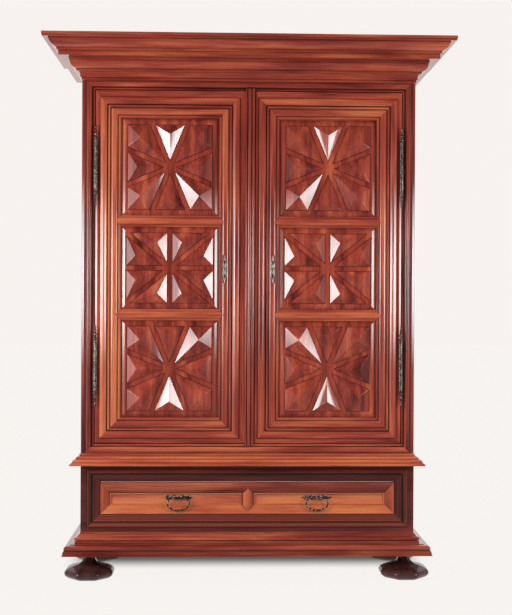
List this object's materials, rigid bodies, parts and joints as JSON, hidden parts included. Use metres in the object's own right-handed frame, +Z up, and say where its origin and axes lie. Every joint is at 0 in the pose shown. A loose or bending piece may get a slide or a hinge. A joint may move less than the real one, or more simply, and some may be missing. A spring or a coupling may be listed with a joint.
{
  "type": "cupboard",
  "caption": "Tall polished wooden cupboard with panelled doors in diamond-cut star relief, a long drawer below, a stepped cornice and octagonal bun feet.",
  "frame": {"origin": "middle of the footprint, on the floor", "axes": "+Z up, -Y to the front, where the doors are, +X to the right as seen from the front"},
  "size_m": [1.95, 0.745, 2.6],
  "materials": {
    "polished_mahogany": "gloss",
    "dark_mahogany": "gloss",
    "inner_wood": "satin",
    "iron": "satin"
  },
  "bodies": {
    "case": {"foot_front_left": "dark_mahogany", "foot_front_right": "dark_mahogany", "foot_rear_left": "dark_mahogany", "foot_rear_right": "dark_mahogany", "corner_blocks": "inner_wood", "plinth_moulding": "polished_mahogany", "base_floor": "inner_wood", "base_sides": "polished_mahogany", "base_back": "inner_wood", "base_front_frame": "polished_mahogany", "drawer_surround": "polished_mahogany", "drawer_runners": "inner_wood", "waist_moulding": "polished_mahogany", "base_top": "inner_wood", "front_post_left": "polished_mahogany", "front_post_right": "polished_mahogany", "rear_posts": "inner_wood", "carcase_rails": "polished_mahogany", "back_boards": "inner_wood", "side_rails": "polished_mahogany", "side_panels": "polished_mahogany", "cupboard_floor": "inner_wood", "cupboard_ceiling": "inner_wood", "shelves": "inner_wood", "shelf_cleats": "inner_wood", "door_surround": "polished_mahogany", "cornice_moulding": "polished_mahogany", "cornice_frame": "inner_wood", "case_hinge_leaves": "iron"},
    "left_door": {"left_hinge_stile": "polished_mahogany", "left_meeting_stile": "polished_mahogany", "left_door_rails": "polished_mahogany", "left_door_moulding": "polished_mahogany", "left_panel_lower": "polished_mahogany", "left_panel_middle": "polished_mahogany", "left_panel_upper": "polished_mahogany", "left_escutcheon": "iron", "left_door_hinges": "iron", "centre_strip": "polished_mahogany", "left_door_staples": "iron"},
    "right_door": {"right_hinge_stile": "polished_mahogany", "right_meeting_stile": "polished_mahogany", "right_door_rails": "polished_mahogany", "right_door_moulding": "polished_mahogany", "right_panel_lower": "polished_mahogany", "right_panel_middle": "polished_mahogany", "right_panel_upper": "polished_mahogany", "right_escutcheon": "iron", "right_door_hinges": "iron", "lock_case": "iron"},
    "lock_bolt": {"lock_bolt": "iron"},
    "upper_bolt": {"door_bolt_upper": "iron"},
    "lower_bolt": {"door_bolt_lower": "iron"},
    "drawer": {"drawer_front": "polished_mahogany", "drawer_lozenge": "polished_mahogany", "drawer_box": "inner_wood", "drawer_bottom": "inner_wood", "pull_plates": "iron"},
    "left_bail": {"left_bail": "iron"},
    "right_bail": {"right_bail": "iron"}
  },
  "joints": [
    {"name": "left_door_hinge", "type": "hinge", "parent": "case", "child": "left_door", "pos_m": [-0.735, -0.2265, 1.5], "axis": [0, 0, -1], "range_deg": [0, 170]},
    {"name": "right_door_hinge", "type": "hinge", "parent": "case", "child": "right_door", "pos_m": [0.735, -0.2265, 1.5], "axis": [0, 0, 1], "range_deg": [0, 170]},
    {"name": "drawer_slide", "type": "slide", "parent": "case", "child": "drawer", "axis": [0, -1, 0], "range_m": [0, 0.4]},
    {"name": "left_bail_hinge", "type": "hinge", "parent": "drawer", "child": "left_bail", "pos_m": [-0.334, -0.2245, 0.398], "axis": [-1, 0, 0], "range_deg": [0, 95]},
    {"name": "right_bail_hinge", "type": "hinge", "parent": "drawer", "child": "right_bail", "pos_m": [0.334, -0.2245, 0.398], "axis": [-1, 0, 0], "range_deg": [0, 95]},
    {"name": "lock_bolt_slide", "type": "slide", "parent": "right_door", "child": "lock_bolt", "axis": [-1, 0, 0], "range_m": [0, 0.022]},
    {"name": "upper_bolt_slide", "type": "slide", "parent": "left_door", "child": "upper_bolt", "axis": [0, 0, 1], "range_m": [0, 0.03]},
    {"name": "lower_bolt_slide", "type": "slide", "parent": "left_door", "child": "lower_bolt", "axis": [0, 0, -1], "range_m": [0, 0.03]}
  ]
}
